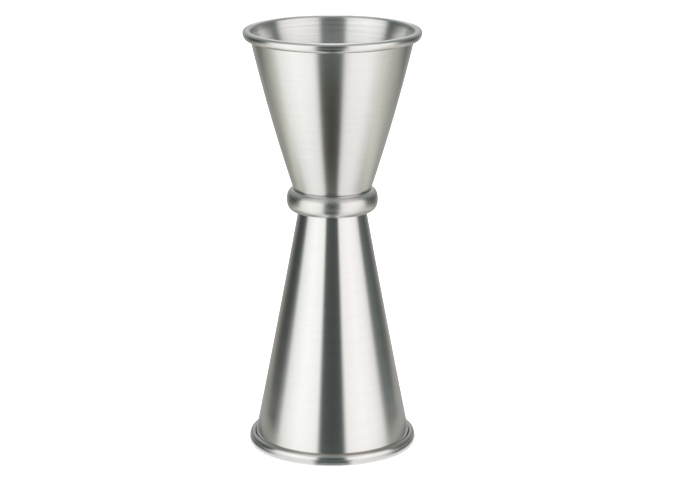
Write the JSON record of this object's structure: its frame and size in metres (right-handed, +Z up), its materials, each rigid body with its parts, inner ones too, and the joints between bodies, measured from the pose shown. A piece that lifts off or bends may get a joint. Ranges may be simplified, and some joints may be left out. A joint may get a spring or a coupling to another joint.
{
  "type": "bar jigger",
  "caption": "Double-ended drinks measure: a short and a long conical cup joined floor to floor, with rolled rims and a pressed ring around the waist.",
  "frame": {"origin": "centre of the long cup's mouth, on the surface that the jigger stands on", "axes": "+Z up along the axis of both cups, towards the short cup's mouth; +X and +Y are any two directions square to it, because the object is round"},
  "size_m": [0.05, 0.05, 0.12],
  "materials": {
    "cup_steel": "satin, brushed around the axis",
    "ring_steel": "satin, polished a little finer than the cups",
    "weld_steel": "dull, as welded"
  },
  "bodies": {
    "root": {"short_cup": "cup_steel", "long_cup": "cup_steel", "waist_ring": "ring_steel", "floor_weld_1": "weld_steel", "floor_weld_2": "weld_steel", "floor_weld_3": "weld_steel", "floor_weld_4": "weld_steel"}
  },
  "joints": []
}
